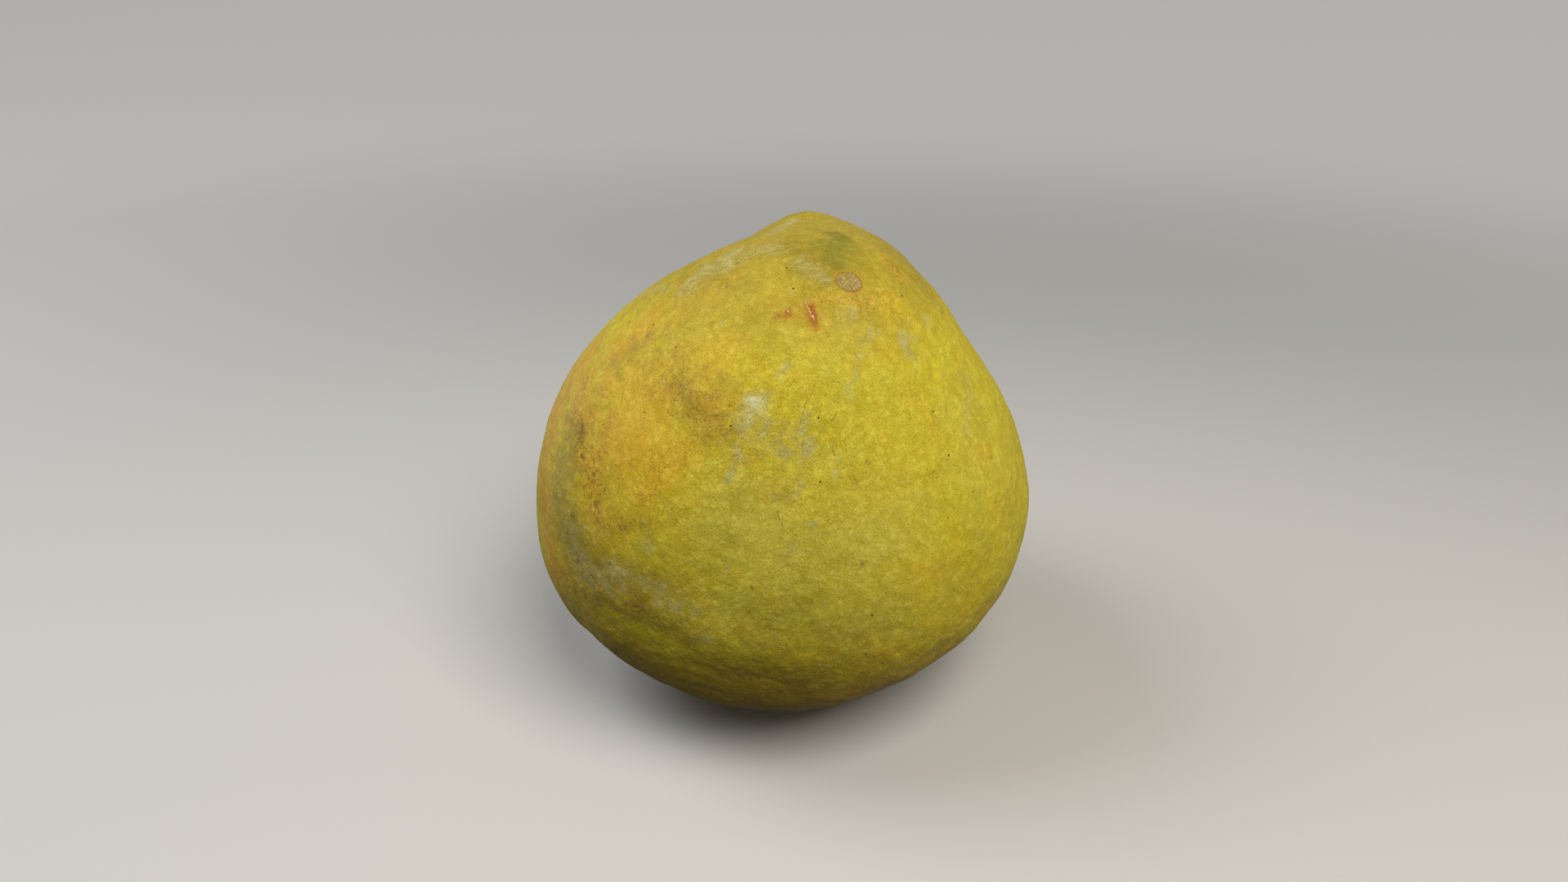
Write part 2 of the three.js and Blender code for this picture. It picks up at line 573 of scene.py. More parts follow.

# %% [markdown]
# ## The sides that face away
#
# Strokes only reach what the camera sees, and a fruit has a back. There, broad waves make
# warm and green areas, and short curved strokes that start anywhere make scuffs and smudges.
# All round, the top of the neck is painted darker, a painted shade, the underside is warm,
# and a pale band low round it is a painted rim light: these follow the height.

# %% Far-side areas and strokes
FAR_SIDE = (-0.15, 0.15)
BROAD_WAVES = (30, 45.0, 95.0)
# the waves' value where an area starts and where it is full
FAR_WARM = (0.4, 1.9)
FAR_WARM_STRENGTH = 0.75
FAR_GREEN = (0.5, 2.0)
FAR_GREEN_STRENGTH = 0.65
# between these heights the top of the neck is painted darker: painted shade
SHADED_NECK_HEIGHTS = (112.0, 138.0)
UNDERSIDE_HEIGHTS = (20.0, 66.0)
UNDERSIDE_STRENGTH = 0.75
# below these heights a pale band is painted round the underside: a painted rim light
RIM_LIGHT_HEIGHTS = (14.0, 30.0)
# count, narrowest and widest in mm, weakest and strongest, and how far each piece turns
FAR_SMUDGES = (9, (2.5, 5.0), (0.5, 0.9), 0.05)
FAR_SCUFFS = (26, (1.0, 3.6), (0.4, 0.8), 0.07)
# how far a hidden direction may face the camera, as a cosine, and how low it may point, as a sine
STROKE_LIMITS = (0.0, -0.7)
SPARE = 6

far_side = ease(ways @ sight, *FAR_SIDE)


def hidden_ways(count, facing, lowest):
    """Random directions that face the camera by less than a cosine and are above a height. More
    are drawn than are wanted, and those that don't fit are dropped."""
    way = draw.normal(size=(count * SPARE, 3))
    way /= np.linalg.norm(way, axis=1, keepdims=True)
    return way[(way @ -sight < facing) & (way[:, 2] > lowest)][:count]


def far_strokes(count, widths, strengths, turn_step):
    """Random strokes on the far side, as on_skin gives them: a start, and two more corners, each
    a small random turn further."""
    start = hidden_ways(count, *STROKE_LIMITS)
    step = draw.normal(size=(count, 3)) * turn_step
    bend = draw.normal(size=(count, 3)) * turn_step / 2
    corners = np.stack([start, start + step, start + 2 * step + bend], axis=1)
    corners /= np.linalg.norm(corners, axis=2, keepdims=True)
    corners *= skin_radius(corners)[..., None]
    return zip(draw.uniform(*widths, count), draw.uniform(*strengths, count), corners)


def paint_far(layer, strokes):
    """A layer with far-side strokes laid over it."""
    for width, strength, line in strokes:
        layer = lay(layer, width, strength, line)
    return layer


far_warm = FAR_WARM_STRENGTH * far_side * ease(random_waves(skin, *BROAD_WAVES), *FAR_WARM)
far_green = FAR_GREEN_STRENGTH * far_side * ease(random_waves(skin, *BROAD_WAVES), *FAR_GREEN)
warm_below = UNDERSIDE_STRENGTH * (1 - ease(height_over_foot, *UNDERSIDE_HEIGHTS))
layers = {
    # dust, and painted shade low on the front and on the top of the neck
    "dust_and_shade": np.maximum(paint(DUST_AND_SHADE), ease(height_over_foot, *SHADED_NECK_HEIGHTS)),
    "straw": paint(STRAW),
    "warm": np.maximum(paint(WARM), np.maximum(far_warm, warm_below)),
    "green": np.maximum(paint(GREEN), far_green),
    "bright": paint(BRIGHT),
    # smudges and painted shade in front, only smudges on the far side
    "smudge_and_shade": paint_far(paint(SMUDGE_AND_SHADE), far_strokes(*FAR_SMUDGES)),
    "scuff": paint_far(paint(SCUFF), far_strokes(*FAR_SCUFFS)),
    "healed": paint(HEALED),
    # a painted rim light, pale low round the underside
    "painted_rim_light": 1 - ease(height_over_foot, *RIM_LIGHT_HEIGHTS),
}
strong = {name: int((layer > 0.5).sum()) for name, layer in layers.items()}
print("points painted over half:", strong)

# %% [markdown]
# ## Burns and specks
#
# Two scratches under the stem bled a little oil, which burnt the rind rust-red beside them.
# Such small strokes are painted at points nudged less, or they would lose their shape. Where
# the rind is warmest or dullest it is peppered with brown specks, so a layer says how thickly
# they lie.

# %% Burns and specks
RUST = [
    (1.3, 1.2, (994, 374), (996.5, 386)),
    (1, 1.2, (997, 386), (998, 402)),
    (2.6, 0.6, (993, 376), (999, 398)),
    (0.8, 0.7, (986, 368), (990, 380)),
    (1.1, 1, (966, 381), (965, 388)),
    (2.2, 0.55, (964, 382)),
    (1.1, 0.7, (960, 385), (951.5, 389)),
    (4, 0.25, (1090, 322), (1096, 332)),
]
SPECKS = [
    (6.5, 1, (708, 510), (716, 550), (728, 600)),
    (5, 0.7, (716, 470), (720, 505)),
    (4, 0.8, (726, 612), (732, 630)),
    (4, 0.6, (740, 640), (770, 645)),
    (9, 0.45, (735, 545), (775, 590), (830, 570)),
    (9, 0.7, (826, 470), (850, 500), (880, 520)),
    (8, 0.45, (920, 500), (960, 530), (1010, 540)),
    (6, 0.4, (960, 600), (1010, 640)),
    (5, 0.8, (1088, 318), (1098, 336)),
    (16, 0.3, (1050, 300), (1120, 380)),
    (14, 0.3, (960, 300), (1000, 360)),
    (5, 0.6, (1015, 362), (1060, 372), (1095, 366)),
    (7, 0.7, (850, 345), (900, 325), (960, 300)),
    (5, 0.6, (700, 680), (740, 735), (830, 760)),
    (8, 0.45, (800, 620), (900, 560)),
    (4, 0.6, (677, 690), (692, 735)),
    (4, 0.5, (950, 385), (1010, 392)),
    (6, 0.5, (1090, 490), (1170, 520)),
    (9, 0.4, (960, 470), (1020, 500), (1040, 560)),
    (5, 0.4, (950, 700), (1060, 690)),
]
SPECK_WAVES = (40, 14.0, 40.0)
FAR_SPECKS = (0.6, 2.0)
FAR_SPECKS_STRENGTH = 0.6
SMALL_NUDGE = 0.25

still = skin + SMALL_NUDGE * (nudged - skin)
layers["rust"] = paint(RUST, still)
far_specks = ease(random_waves(skin, *SPECK_WAVES), *FAR_SPECKS)
layers["speck"] = np.maximum(paint(SPECKS), FAR_SPECKS_STRENGTH * far_side * far_specks)
print(len(RUST), "burns and", len(SPECKS), "speckled areas")

# %% [markdown]
# ## Pricks, freckles and cracks
#
# These are smaller than a face of the mesh, or hardly larger, so a painted strength would
# blur away. What each point keeps instead is the way to the nearest mark, measured in the
# mark's own radii. That changes evenly from point to point, so it is exact between them too,
# and the material can draw a mark as crisp as it likes.

# %% Ways to the nearest small mark
PRICKS = [
    # radius in mm, then pixel
    (0.34, 1002, 512), (0.2, 1026, 469), (0.26, 1052, 505), (0.28, 1120.5, 511),
    (0.36, 1142, 504), (0.26, 1167, 517), (0.38, 1161, 557.5), (0.32, 1214.5, 560.5),
    (0.36, 1192, 602), (0.36, 1004.5, 590), (0.34, 895, 521.5), (0.38, 800, 398),
    (0.28, 825.5, 387), (0.26, 856.5, 393.5), (0.26, 828, 425.5), (0.28, 789, 505),
    (0.34, 963, 329.5), (0.38, 971.5, 353.5), (0.34, 1104.5, 362), (0.22, 1116.5, 371),
    (0.2, 1030, 390), (0.22, 1073, 544), (0.34, 1068, 754), (0.26, 1060, 801),
    (0.3, 922, 808), (0.24, 1189, 677), (0.2, 957, 600),
]
FRECKLES = [
    (1.6, 713, 527), (1.3, 705, 545), (1.1, 712, 558), (1.1, 726, 580), (1.7, 728, 618),
    (1.7, 702, 632), (1.1, 706, 687), (0.8, 792, 411), (0.7, 890, 351), (0.8, 1062, 567),
    (1, 1056, 690), (0.8, 1219, 615), (0.4, 893, 497), (0.8, 747, 690), (0.8, 1153, 383),
    (0.4, 826, 490), (0.4, 834, 472), (0.8, 770, 395), (0.8, 922, 720),
]
# on the sides that face away: how many, and their smallest and largest radius
HIDDEN_PRICKS = (46, (0.20, 0.40))
HIDDEN_FRECKLES = (26, (0.6, 1.5))
SPOT_LIMITS = (0.15, -0.75)


def scattered(count):
    """Random places on the side that the camera doesn't see, above the flat spot."""
    way = hidden_ways(count, *SPOT_LIMITS)
    return way * skin_radius(way)[:, None]


def way_to_nearest(marks, hidden_count, radii):
    """Vector from the nearest mark to every point, in that mark's own radii, and its length.
    Marks are rows of radius and pixel, and hidden ones with random radii are added on the far
    side. Half way between two marks the vector flips over, so the length is kept as well."""
    table = np.array(marks)
    places = np.concatenate([on_skin(table[:, 1:]), scattered(hidden_count)])
    radius = np.concatenate([table[:, 0], draw.uniform(*radii, hidden_count)])
    gap = np.linalg.norm(skin[:, None, :] - places[None, :, :], axis=-1) / radius
    nearest = gap.argmin(axis=1)
    return (skin - places[nearest]) / radius[nearest, None], gap.min(axis=1)


layers["prick"], layers["prick_reach"] = way_to_nearest(PRICKS, *HIDDEN_PRICKS)
layers["freckle"], layers["freckle_reach"] = way_to_nearest(FRECKLES, *HIDDEN_FRECKLES)
print(len(PRICKS) + HIDDEN_PRICKS[0], "pricks,", len(FRECKLES) + HIDDEN_FRECKLES[0], "freckles")

# %% [markdown]
# A crack or a scratch is a short run of straight pieces. Each point keeps how far it is to
# the side of the nearest piece, how far past that piece's end, and how far from it in all.

# %% Cracks and scratches
CRACKS = [
    [(964, 478), (960, 488), (954, 499)],
    [(974, 464), (970, 470)],
    [(998, 473), (991, 486), (984, 502), (979, 518)],
    [(1022, 488), (1024, 484)],
    [(1014, 520), (1022, 509), (1036, 502)],
    [(952, 622), (954, 634), (958, 647)],
    [(1017, 546), (1024, 560), (1026, 570)],
    [(1132, 582), (1144, 577), (1152, 570)],
    [(1127, 630), (1134, 632)],
    [(1161, 634), (1169, 632)],
    [(1100, 790), (1113, 787)],
    [(808, 570), (807, 590), (798, 607)],
    [(794, 750), (802, 758)],
    [(700, 700), (712, 712)],
    [(1098, 486), (1112, 478), (1124, 475)],
]
SCRATCHES = [
    [(987.5, 369), (991, 379), (996, 390)],
    [(963.5, 377.5), (965.5, 383)],
]


def beside_and_beyond(lines):
    """For the nearest straight piece: signed distance beside it, distance past its ends
    (negative between them), and distance from it, in mm."""
    nearest = np.full(len(skin), np.inf)
    kept = np.zeros((len(skin), 3))
    for line in lines:
        corners = on_skin(line)
        for start, end in zip(corners[:-1], corners[1:]):
            length = np.linalg.norm(end - start)
            along = (end - start) / length
            beside = np.cross(start / np.linalg.norm(start), along)
            run = (skin - start) @ along
            past = np.maximum(-run, run - length)
            side = (skin - start) @ beside
            gap = np.hypot(side, np.maximum(past, 0))
            closer = gap < nearest
            nearest = np.where(closer, gap, nearest)
            kept[closer] = np.column_stack([side, past, gap])[closer]
    return kept


layers["crack"] = beside_and_beyond(CRACKS)
layers["scratch"] = beside_and_beyond(SCRATCHES)
layers["stem"] = stem_place
print(len(CRACKS), "cracks and", len(SCRATCHES), "scratches")

# %% [markdown]
# ## The fruit's mesh
#
# The grid, the skin and the relief now come together in one closed mesh. It stands for the
# measured fruit, which stays hidden as its collision shape. Scuffs and burns are sunk by a
# hair, because dead skin doesn't swell as the living rind round it does, and a soft ridge
# runs under the big scuff at the lower left, where the side turns under.

# %% Make the fruit
SCUFF_DEPTH = 0.10
BURN_DEPTH = 0.12
RIDGE_HEIGHT = 0.55
RIDGE = [
    (6.0, 1.0, (700, 718), (748, 730), (800, 742)),
    (6.0, 0.7, (800, 742), (850, 760), (892, 786)),
]


def keep_layer(mesh, name, values):
    """Store a number or a vector at every point of a mesh, for a material to read."""
    flat = values.ndim == 1
    layer = mesh.attributes.new(name, "FLOAT" if flat else "FLOAT_VECTOR", "POINT")
    layer.data.foreach_set("value" if flat else "vector", values.astype(np.float32).ravel())


relief += RIDGE_HEIGHT * paint(RIDGE) - SCUFF_DEPTH * layers["scuff"] - BURN_DEPTH * layers["rust"]
points = ways * (skin_radius(ways) + relief)[:, None] + BODY_CENTRE

fruit_mesh = bpy.data.meshes.new("pomelo_rind")
fruit_mesh.from_pydata((points * MM).tolist(), [], quads.tolist())
fruit_mesh.shade_smooth()
for name, values in layers.items():
    keep_layer(fruit_mesh, name, values)
fruit = bpy.data.objects.new("pomelo_rind", fruit_mesh)
bpy.context.collection.objects.link(fruit)
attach(fruit, "root")
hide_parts("pomelo_fruit")
print("fruit, mm:", np.ptp(points, axis=0).round(1))

# %% [markdown]
# ## Colours and nodes
#
# Colours are picked as sRGB hex, as they look, and turned to the linear numbers that light is
# computed with. A material is a tree of nodes, and one function adds any of them: its inputs
# in order or by name, as numbers, colours or other nodes' outputs, and then its settings.

# %% Helpers
def linear(hex_colour):
    """sRGB hex to linear: below 0.04045 a plain division, above it a 2.4 power. Alpha is 1."""
    shares = np.array([int(hex_colour[i : i + 2], 16) for i in (1, 3, 5)]) / 255
    light = np.where(shares <= 0.04045, shares / 12.92, ((shares + 0.055) / 1.055) ** 2.4)
    return (*light.tolist(), 1.0)


def add(kind, inputs, output=0, **settings):
    """Add a node to the tree in hand, fill its inputs, and give back one of its outputs."""
    node = tree.nodes.new("ShaderNode" + kind)
    for name, value in settings.items():
        setattr(node, name, value)
    for key, value in inputs.items() if isinstance(inputs, dict) else enumerate(inputs):
        if isinstance(value, bpy.types.NodeSocket):
            tree.links.new(value, node.inputs[key])
        else:
            node.inputs[key].default_value = value
    return node.outputs[output]


# settings that many nodes share, and the numbers of a colour mix's sockets
SMOOTH = {"interpolation_type": "SMOOTHSTEP"}
RGB = {"data_type": "RGBA"}
SHARE, UNDER, OVER, MIXED = 0, 6, 7, 2
print("middle grey in linear light:", round(linear("#808080")[0], 3))

# %% [markdown]
# ## The rind
#
# Citrus rind is a waxy, leathery skin over thousands of oil glands, each in a shallow dimple.
# The wax gives it a broad, soft gloss. Its yellow drifts between lemon and straw over a few
# centimetres and is mottled over a few millimetres, and the painted layers turn it warm,
# green, smudged or corky.
#
# All patterns are solid ones on object coordinates: they run through the fruit like the
# grain through wood, so there are no seams and every side is finished.

# %% Start the rind material
rind = bpy.data.materials.new("waxy citrus rind")
rind.use_nodes = True
tree = rind.node_tree
place = add("TexCoord", {}, "Object")
PER_METRE = 1000.0


def sized(size, **inputs):
    """Inputs of a solid pattern: the place on the fruit, a scale that is a metre over the
    pattern's size in mm, and any others."""
    return {"Vector": place, "Scale": PER_METRE / size, **inputs}


print("material:", rind.name)

# %% [markdown]
# ### Ground colour
#
# Drift over three centimetres, and blotches under a centimetre that lean to orange or to green.

# %% Ground colour
DRIFT_SIZE = 34
BLOTCH_SIZE = 8

drift = add("TexNoise", sized(DRIFT_SIZE, Detail=2))
blotch = add("TexNoise", sized(BLOTCH_SIZE, Detail=3, Roughness=0.6))

GROUND = [
    # pattern, where it starts and is full, strength, colour
    (drift, 0.38, 0.62, 0.9, "#DCC82A"),
    (blotch, 0.50, 0.72, 0.6, "#E2BE24"),
    (blotch, 0.48, 0.28, 0.6, "#CAC038"),
]
colour = linear("#DECC32")
for pattern, low, high, strength, tint in GROUND:
    share = add("MapRange", [pattern, low, high, 0.0, strength], **SMOOTH)
    colour = add("Mix", {SHARE: share, UNDER: colour, OVER: linear(tint)}, MIXED, **RGB)
print(len(tree.nodes), "nodes with the ground colour")

# %% [markdown]
# ### Warm, green, smudged and scuffed areas
#
# The same three steps serve for each: read the painted strength, add noise so that the edge
# is ragged, and lay the tint over what is there.

# %% Tints
TINTS = [
    # layer, tint, noise size in mm, raggedness, low and high edge, strength
    # dust and painted shade: a duller, darker yellow
    ("dust_and_shade", "#B69E2E", 9.0, 0.5, 0.25, 1.25, 0.80),
    ("straw", "#DACB44", 9.0, 0.6, 0.45, 1.25, 0.90),
    ("warm", "#E6B632", 7.0, 0.9, 0.50, 1.40, 0.85),
    ("bright", "#ECD236", 5.0, 0.8, 0.50, 1.30, 0.80),
    ("green", "#948B2C", 5.0, 0.8, 0.45, 1.55, 0.90),
    # smudges and painted shade: a dull olive
    ("smudge_and_shade", "#A88A30", 3.4, 1.1, 0.62, 1.50, 0.72),
    ("scuff", "#C4BC6A", 1.7, 1.5, 0.78, 1.75, 0.80),
    ("healed", "#DEDA8C", 1.8, 1.2, 0.70, 1.80, 0.85),
    # painted rim light: a pale band low round the underside
    ("painted_rim_light", "#CDC29C", 4.0, 1.0, 0.60, 1.60, 0.70),
    ("rust", "#B0561A", 0.9, 1.2, 0.70, 1.80, 0.88),
]
masks = {}
for name, tint, size, ragged, low, high, strength in TINTS:
    painted = add("Attribute", {}, "Fac", attribute_name=name)
    noise = add("TexNoise", sized(size, Detail=3, Roughness=0.7))
    torn = add("Math", [noise, ragged, painted], operation="MULTIPLY_ADD")
    masks[name] = add("MapRange", [torn, low, high, 0.0, strength], **SMOOTH)
    colour = add("Mix", {SHARE: masks[name], UNDER: colour, OVER: linear(tint)}, MIXED, **RGB)
print(len(tree.nodes), "nodes with", len(TINTS), "tints")

# %% [markdown]
# ### Pebbles and grain
#
# Over all of that the rind is pebbled, with soft cells of two millimetres whose tops are painted
# paler, a painted highlight, on the same cells that are raised as bump. Close to it is grainy,
# with flecks a third of a millimetre wide, drawn a little coarser than they are so that they
# show, and a painted wax sheen lies over it in thin clouds. A pale fleck of fixed colour would
# stand out on a dark mark, so all three are added to one tone, and the tone multiplies whatever
# is there. The pale end of the tone is a bluish white, a painted sheen, so blue changes most.
#
# Pebbles are smooth Voronoi cells. Their sides would be straight, so the place they are read
# at is first shaken by noise.

# %% Pebbles and grain
PEBBLE_SIZE = 2.2
PEBBLE_TONES = (0.36, 0.64)
SHAKE_SIZE = 2.0
SHAKE = 1.1 * MM
GRAIN_SIZE = 0.36
GRAIN_TONE = 0.30
CLOUD_SIZE = 3.6
CLOUD_TONE = 0.16
DARK_TONE = (0.72, 0.67, 0.30, 1.0)
# the pale end, bluish white: a painted wax sheen
PALE_TONE = (1.20, 1.25, 2.15, 1.0)

shake = add("TexNoise", sized(SHAKE_SIZE, Detail=2), "Color")
shaken = add("VectorMath", [shake, (SHAKE, SHAKE, SHAKE), place], operation="MULTIPLY_ADD")
cells = sized(PEBBLE_SIZE, Vector=shaken, Smoothness=0.5)
pebble = add("TexVoronoi", cells, feature="SMOOTH_F1")
# painted highlight: pebble tops paler, edges darker; the same tone is the pebbles' bump height
pebble_tone = add("MapRange", [pebble, 0.60, 0.05, *PEBBLE_TONES], **SMOOTH)
grain = add("TexNoise", sized(GRAIN_SIZE, Detail=1, Roughness=0.6))
grain_tone = add("MapRange", [grain, 0.32, 0.68, -GRAIN_TONE, GRAIN_TONE])
# painted wax sheen, in thin clouds
cloud = add("TexNoise", sized(CLOUD_SIZE, Detail=2, Roughness=0.6))
cloud_tone = add("MapRange", [cloud, 0.30, 0.70, -CLOUD_TONE, CLOUD_TONE])
rough_tone = add("Math", [pebble_tone, grain_tone], operation="ADD")
tone = add("Math", [rough_tone, cloud_tone], operation="ADD", use_clamp=True)
tone_colour = add("Mix", {SHARE: tone, UNDER: DARK_TONE, OVER: PALE_TONE}, MIXED, **RGB)
toned = {SHARE: 1.0, UNDER: colour, OVER: tone_colour}
colour = add("Mix", toned, MIXED, blend_type="MULTIPLY", **RGB)
print(len(tree.nodes), "nodes with pebbles and grain")

# %% [markdown]
# ### Glands and specks
#
# Glands are cells 1.25 mm apart, of which a few are dark. Specks are smaller cells that show
# brown where their layer is strong: each cell has a random number, and shows where the layer
# is higher. Brown patches of about a millimetre lie among them.

# %% Glands and specks
GLAND_SPACING = 1.25
GLAND_DARKNESS = 0.30
SPECK_SPACING = 0.70
SPECK_STRENGTH = 0.60
PATCH_SIZE = 1.3
PATCH_STRENGTH = 0.60

gland = add("TexVoronoi", sized(GLAND_SPACING))
gland_luck = add("SeparateColor", [gland.node.outputs["Color"]])
gland_dot = add("MapRange", [gland, 0.28, 0.06], **SMOOTH)
gland_share = add("MapRange", [gland_luck, 0.6, 1.0, 0, GLAND_DARKNESS])
dark_gland = add("Math", [gland_dot, gland_share], operation="MULTIPLY")

speck = add("TexVoronoi", sized(SPECK_SPACING))
speck_luck = add("SeparateColor", [speck.node.outputs["Color"]])
speck_layer = add("Attribute", {}, "Fac", attribute_name="speck")
speck_won = add("Math", [speck_layer, speck_luck], operation="SUBTRACT")
speck_share = add("MapRange", [speck_won, 0.0, 0.45, 0.0, SPECK_STRENGTH], **SMOOTH)
speck_dot = add("MapRange", [speck, 0.36, 0.10], **SMOOTH)
brown_speck = add("Math", [speck_dot, speck_share], operation="MULTIPLY")

patch = add("TexNoise", sized(PATCH_SIZE, Detail=4, Roughness=0.7))
patch_share = add("MapRange", [patch, 0.48, 0.68, 0.0, PATCH_STRENGTH], **SMOOTH)
brown_patch = add("Math", [patch_share, speck_layer], operation="MULTIPLY")

FLECKS = [
    (dark_gland, "#86701C"),
    (brown_patch, "#94682A"),
    (brown_speck, "#7A5222"),
]
for share, tint in FLECKS:
    colour = add("Mix", {SHARE: share, UNDER: colour, OVER: linear(tint)}, MIXED, **RGB)
print(len(tree.nodes), "nodes with glands and specks")

# %% [markdown]
# ### Crackle
#
# Where specks lie thickly the skin has also split into fine brown lines. They run between
# Voronoi cells read at the shaken place, and other noise leaves gaps in them.

# %% Crackle
CRACKLE_SIZE = 2.6
CRACKLE_STRENGTH = 0.60
GAP_SIZE = 1.3

edge = add("TexVoronoi", sized(CRACKLE_SIZE, Vector=shaken), feature="DISTANCE_TO_EDGE")
split = add("MapRange", [edge, 0.070, 0.010], **SMOOTH)
gap_noise = add("TexNoise", sized(GAP_SIZE, Detail=3, Roughness=0.7))
gaps = add("MapRange", [gap_noise, 0.48, 0.62], **SMOOTH)
broken = add("Math", [split, gaps], operation="MULTIPLY")
among_specks = add("MapRange", [speck_layer, 0.2, 1.0, 0.0, CRACKLE_STRENGTH], **SMOOTH)
crackle = add("Math", [broken, among_specks], operation="MULTIPLY")
colour = add("Mix", {SHARE: crackle, UNDER: colour, OVER: linear("#6B4A1E")}, MIXED, **RGB)
print(len(tree.nodes), "nodes with crackle")

# %% [markdown]
# ### Freckles, pricks and cracks
#
# Freckles and pricks are drawn from the way to the nearest one, whose length is 1 at the
# mark's edge. Noise pushes that length in and out for an uneven outline. Past 2.4 radii
# nothing is drawn, because half way between two marks the way itself is wrong.

# %% Freckles and pricks
SPOT_END = (2.4, 1.9)
SPOTS = [
    # layer, colour, noise size in mm, unevenness, edge where it starts and is full, strength
    ("freckle", "#7A5026", 0.8, 2.4, 2.30, 1.30, 0.60),
    ("prick", "#33290F", 0.5, 0.5, 1.25, 0.85, 0.85),
]
for name, tint, size, uneven, start, full, strength in SPOTS:
    way = add("Attribute", {}, "Vector", attribute_name=name)
    reach = add("VectorMath", [way], "Value", operation="LENGTH")
    noise = add("TexNoise", sized(size, Detail=3))
    pushed = add("Math", [noise, uneven, reach], operation="MULTIPLY_ADD")
    drawn = add("MapRange", [pushed, start, full, 0.0, strength], **SMOOTH)
    true_reach = add("Attribute", {}, "Fac", attribute_name=name + "_reach")
    close = add("MapRange", [true_reach, *SPOT_END])
    share = add("Math", [drawn, close], operation="MULTIPLY")
    colour = add("Mix", {SHARE: share, UNDER: colour, OVER: linear(tint)}, MIXED, **RGB)
print(len(tree.nodes), "nodes with freckles and pricks")

# %% [markdown]
# Cracks and scratches are thin, wander to the side with one noise, and are broken into dots
# by another. They fade past their ends, and nothing is drawn far from them, because half way
# between two lines the distances jump.

# %% Cracks and scratches
DOT_SIZE = 0.75
LINE_FADE = (0.6, -0.3)
LINE_END = (1.6, 1.2)
LINES = [
    # layer, colour, noise size in mm, how far it wanders, half width, gaps from and to, strength
    ("crack", "#6E4E20", 1.6, 1.6, 0.18, 0.40, 0.58, 0.60),
    ("scratch", "#EAD4A6", 1.0, 1.4, 0.26, 0.36, 0.56, 0.80),
]
for name, tint, size, wander, half_width, gap, solid, strength in LINES:
    parts = add("SeparateXYZ", [add("Attribute", {}, "Vector", attribute_name=name)])
    noise = add("TexNoise", sized(size, Detail=3))
    centred = add("Math", [noise, wander, -wander / 2], operation="MULTIPLY_ADD")
    shifted = add("Math", [centred, parts], operation="ADD")
    aside = add("Math", [shifted], operation="ABSOLUTE")
    thin = add("MapRange", [aside, half_width, half_width / 3], **SMOOTH)
    ended = add("MapRange", [parts.node.outputs["Y"], *LINE_FADE], **SMOOTH)
    close = add("MapRange", [parts.node.outputs["Z"], *LINE_END])
    dot_noise = add("TexNoise", sized(DOT_SIZE, Detail=1))
    share = add("MapRange", [dot_noise, gap, solid, 0.0, strength], **SMOOTH)
    for limit in (thin, ended, close):
        share = add("Math", [share, limit], operation="MULTIPLY")
    colour = add("Mix", {SHARE: share, UNDER: colour, OVER: linear(tint)}, MIXED, **RGB)
print(len(tree.nodes), "nodes with cracks and scratches")

# %% [markdown]
# ### Stem scar
#
# The stem left a round face of dry tissue, ribbed from the middle out, inside a thin
# rust-brown ring. The layer called stem holds each point's place measured from the scar's
# middle, so rings are simply distances, and noise read at the direction, with only a little
# of the distance, makes rays that bend. The pale rays are crumbly, so they are broken into
# short flecks.

# %% Stem scar
RAGGED_SIZE = 1.2
RAGGEDNESS = 0.7
CRUMB_SIZE = 0.5
RAY_BEND = 0.22
RAY_SCALE = 3.6

scar_place = add("Attribute", {}, "Vector", attribute_name="stem")
scar_reach = add("VectorMath", [scar_place], "Value", operation="LENGTH")
ragged_noise = add("TexNoise", sized(RAGGED_SIZE, Detail=2))
scar_edge = add("Math", [ragged_noise, RAGGEDNESS, scar_reach], operation="MULTIPLY_ADD")
on_ring = add("Math", [scar_edge, SCAR_RADIUS + RAGGEDNESS / 2], operation="SUBTRACT")
off_ring = add("Math", [on_ring], operation="ABSOLUTE")
scar_face = add("MapRange", [on_ring, 0.1, -0.3], **SMOOTH)

ray_place = add("VectorMath", [scar_place], operation="NORMALIZE")
bend = (RAY_BEND, RAY_BEND, RAY_BEND)
bent = add("VectorMath", [scar_place, bend, ray_place], operation="MULTIPLY_ADD")
rays = add("TexNoise", {"Vector": bent, "Scale": RAY_SCALE, "Detail": 2})
pale_ray = add("MapRange", [rays, 0.44, 0.62, 0.15, 0.80], **SMOOTH)
dark_ray = add("MapRange", [rays, 0.52, 0.38, 0.0, 0.35], **SMOOTH)
crumbs = add("TexNoise", sized(CRUMB_SIZE, Detail=1))
crumb = add("MapRange", [crumbs, 0.42, 0.58], **SMOOTH)
ring_share = add("MapRange", [off_ring, 0.34, 0.06], **SMOOTH)
ring_luck = add("MapRange", [ragged_noise, 0.38, 0.60, 0.40, 0.85], **SMOOTH)

spread = add("MapRange", [scar_reach, 0.3, 1.6], **SMOOTH)
rayed_face = add("Math", [scar_face, spread], operation="MULTIPLY")
crumbled_face = add("Math", [scar_face, crumb], operation="MULTIPLY")

SCAR = [
    # warm skin round it, its face, the pale rays, the dark rays and the ring
    (add("MapRange", [on_ring, 1.9, 0.0, 0.0, 0.35], **SMOOTH), "#C28F2A"),
    (add("Math", [scar_face, 0.8], operation="MULTIPLY"), "#96803E"),
    (add("Math", [crumbled_face, pale_ray], operation="MULTIPLY"), "#D2BE8E"),
    (add("Math", [rayed_face, dark_ray], operation="MULTIPLY"), "#7E682C"),
    (add("Math", [ring_share, ring_luck], operation="MULTIPLY"), "#9C662C"),
]
for share, tint in SCAR:
    colour = add("Mix", {SHARE: share, UNDER: colour, OVER: linear(tint)}, MIXED, **RGB)
print(len(tree.nodes), "nodes with the stem scar")

